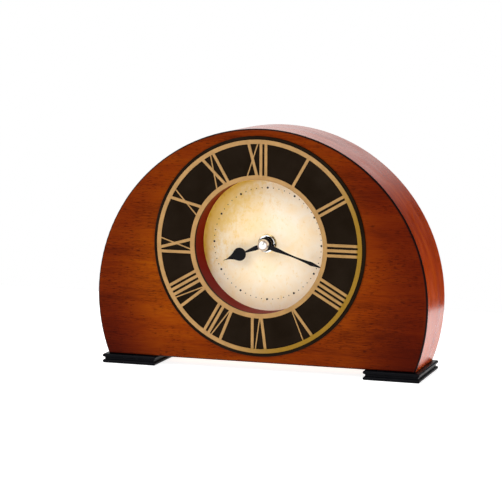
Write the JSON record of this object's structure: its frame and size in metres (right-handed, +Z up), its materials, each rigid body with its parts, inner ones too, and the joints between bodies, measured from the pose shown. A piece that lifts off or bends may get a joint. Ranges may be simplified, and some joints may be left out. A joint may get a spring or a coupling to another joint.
{
  "type": "mantel clock",
  "caption": "Half-round wooden mantel clock with a pierced ring of Roman numerals, a recessed dial, hour and minute hands and a battery quartz movement.",
  "frame": {"origin": "on the surface the clock stands on, below the middle of the case", "axes": "+X to the right seen from the front, +Y to the back, +Z up; the dial faces -Y"},
  "size_m": [0.2286, 0.054, 0.1618],
  "materials": {
    "front_wood": "satin varnish over horizontal-grain veneer",
    "rim_wood": "glossy varnish over veneer",
    "hoop_wood": "plain, lightly stained",
    "back_board": "smooth brown hardboard",
    "foot_lacquer": "black lacquer, satin gloss",
    "screw_brass": "plain",
    "screw_steel": "zinc plated",
    "ring_black": "satin black-brown paint",
    "ring_brass": "matte lacquered",
    "dial_metal": "plain sheet",
    "dial_print": "matte, aged cream",
    "movement_plastic": "fine spark texture",
    "wheel_plastic": "moulded",
    "knob_plastic": "moulded",
    "bobbin_plastic": "moulded",
    "bushing_brass": "turned",
    "gasket_rubber": "plain",
    "nut_chrome": "polished",
    "cap_nut": "polished",
    "hand_black": "satin black",
    "iron_sheet": "plain sheet",
    "magnet_alloy": "sintered",
    "copper_wire": "enamelled copper winding",
    "board_laminate": "laminate",
    "crystal_can": "drawn can",
    "chip_resin": "resin",
    "contact_nickel": "nickel plated",
    "cell_steel": "nickel plated",
    "cell_sleeve": "plain printed film"
  },
  "bodies": {
    "case": {"front_panel": "front_wood", "rim_hoop": "hoop_wood", "base_board": "hoop_wood", "rim_veneer": "rim_wood", "back_panel": "back_board", "back_screws": "screw_brass", "foot_left": "foot_lacquer", "foot_right": "foot_lacquer", "foot_screws": "screw_steel", "chapter_backing": "ring_black", "chapter_fretwork": "ring_brass", "dial_plate": "dial_metal", "dial_paper": "dial_print", "dial_screws": "screw_steel", "movement_front_shell": "movement_plastic", "movement_rear_cover": "movement_plastic", "train_bridge": "wheel_plastic", "threaded_bushing": "bushing_brass", "rubber_gasket": "gasket_rubber", "dial_washer": "bushing_brass", "mounting_nut": "nut_chrome", "stator": "iron_sheet", "coil_core": "iron_sheet", "coil_bobbin": "bobbin_plastic", "coil_winding": "copper_wire", "circuit_board": "board_laminate", "quartz_crystal": "crystal_can", "chip_blob": "chip_resin", "contact_positive": "contact_nickel", "contact_negative": "contact_nickel"},
    "minute": {"minute_arbor": "bushing_brass", "minute_hand": "hand_black", "hand_nut": "cap_nut"},
    "hour": {"hour_wheel": "wheel_plastic", "hour_hand": "hand_black"},
    "motion": {"motion_wheel": "wheel_plastic"},
    "setting": {"setting_shaft": "wheel_plastic", "setting_knob": "knob_plastic"},
    "rotor": {"rotor": "wheel_plastic", "rotor_magnet": "magnet_alloy"},
    "intermediate": {"intermediate_wheel": "wheel_plastic"},
    "seconds": {"seconds_wheel": "wheel_plastic"},
    "third": {"third_wheel": "wheel_plastic"},
    "centre": {"centre_wheel": "wheel_plastic"},
    "battery": {"battery_cell": "cell_steel", "battery_sleeve": "cell_sleeve"}
  },
  "joints": [
    {"name": "minute_turn", "type": "hinge", "parent": "case", "child": "minute", "pos_m": [0, 0, 0.084], "axis": [0, 1, 0], "continuous": true},
    {"name": "hour_turn", "type": "hinge", "parent": "case", "child": "hour", "pos_m": [0, 0, 0.084], "axis": [0, 1, 0], "continuous": true},
    {"name": "motion_turn", "type": "hinge", "parent": "case", "child": "motion", "pos_m": [0.00564, 0, 0.08195], "axis": [0, 1, 0], "continuous": true},
    {"name": "setting_turn", "type": "hinge", "parent": "case", "child": "setting", "pos_m": [0.01128, 0, 0.0799], "axis": [0, 1, 0], "continuous": true},
    {"name": "rotor_spin", "type": "hinge", "parent": "case", "child": "rotor", "pos_m": [0.00168, 0, 0.09446], "axis": [0, 1, 0], "continuous": true},
    {"name": "intermediate_turn", "type": "hinge", "parent": "case", "child": "intermediate", "pos_m": [0.00168, 0, 0.09026], "axis": [0, 1, 0], "continuous": true},
    {"name": "seconds_turn", "type": "hinge", "parent": "case", "child": "seconds", "pos_m": [0, 0, 0.084], "axis": [0, 1, 0], "continuous": true},
    {"name": "third_turn", "type": "hinge", "parent": "case", "child": "third", "pos_m": [-0.0053, 0, 0.08706], "axis": [0, 1, 0], "continuous": true},
    {"name": "centre_turn", "type": "hinge", "parent": "case", "child": "centre", "pos_m": [0, 0, 0.084], "axis": [0, 1, 0], "continuous": true},
    {"name": "battery_slide", "type": "slide", "parent": "case", "child": "battery", "axis": [0, 1, 0], "range_m": [0, 0.03]}
  ],
  "couplings": [
    {"joint": "hour_turn", "follows": "minute_turn", "ratio": 0.083333},
    {"joint": "motion_turn", "follows": "minute_turn", "ratio": -0.33333},
    {"joint": "setting_turn", "follows": "minute_turn", "ratio": 1},
    {"joint": "intermediate_turn", "follows": "rotor_spin", "ratio": -0.16667},
    {"joint": "seconds_turn", "follows": "rotor_spin", "ratio": 0.033333},
    {"joint": "third_turn", "follows": "rotor_spin", "ratio": -0.0044444},
    {"joint": "centre_turn", "follows": "rotor_spin", "ratio": 0.00055556}
  ]
}
